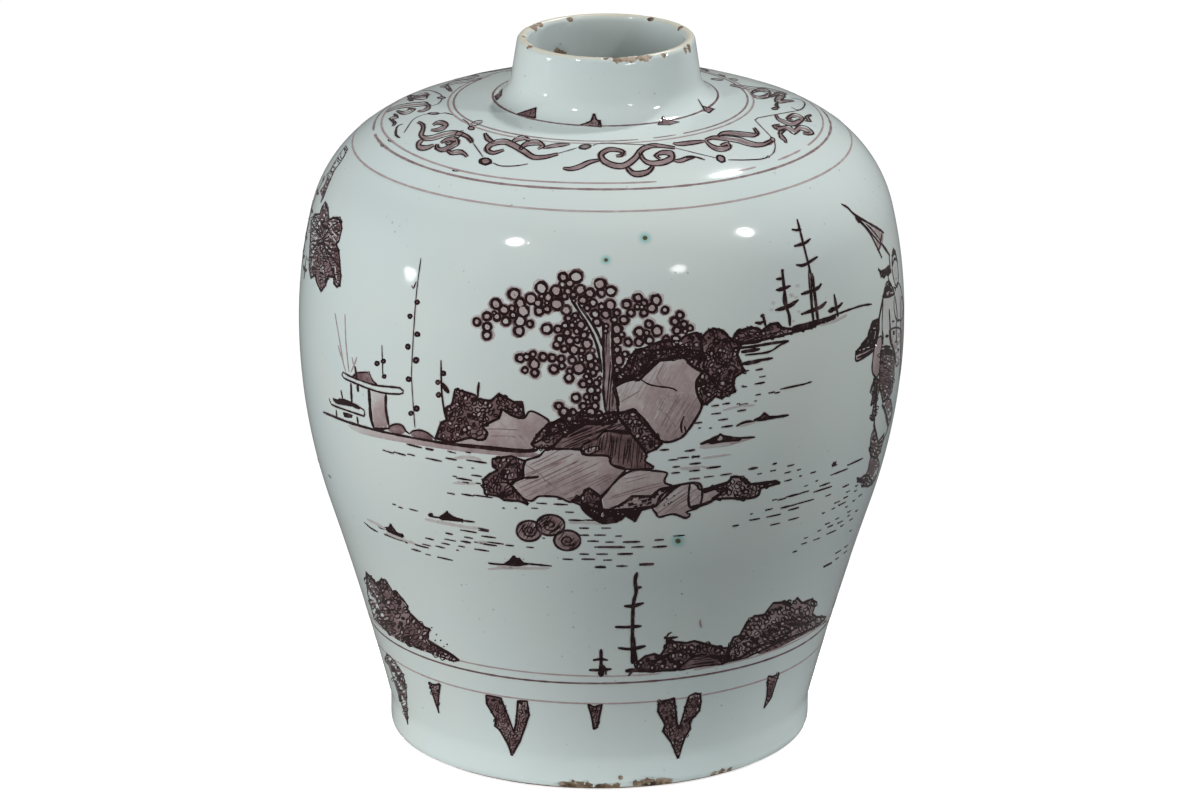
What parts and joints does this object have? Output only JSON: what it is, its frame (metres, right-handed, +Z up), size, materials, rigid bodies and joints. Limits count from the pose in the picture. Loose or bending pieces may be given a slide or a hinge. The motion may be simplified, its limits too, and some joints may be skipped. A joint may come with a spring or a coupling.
{
  "type": "meiping vase",
  "caption": "Wide-shouldered earthenware vase with a short upright neck, white tin glaze and manganese-purple painted landscape, on a turned foot ring.",
  "frame": {"origin": "centre of the underside of the foot ring, on the surface that the vase stands on", "axes": "+Z up along the axis of the pot, towards the rim; +X to the right and -Y towards the viewer of the painted front"},
  "size_m": [0.21, 0.21, 0.2495],
  "materials": {
    "biscuit": "matte, buff fired earthenware",
    "slip": "matte, fired slip",
    "tin_glaze": "gloss, pale blue-green white",
    "purple_paint": "gloss, manganese purple under the top glaze"
  },
  "bodies": {
    "root": {"foot_and_floor": "biscuit", "foot_slip": "slip", "lower_body": "biscuit", "waist_slip": "slip", "upper_body": "biscuit", "neck_slip": "slip", "neck": "biscuit", "outer_glaze": "tin_glaze", "inner_glaze": "tin_glaze", "base_glaze": "tin_glaze"}
  },
  "joints": []
}
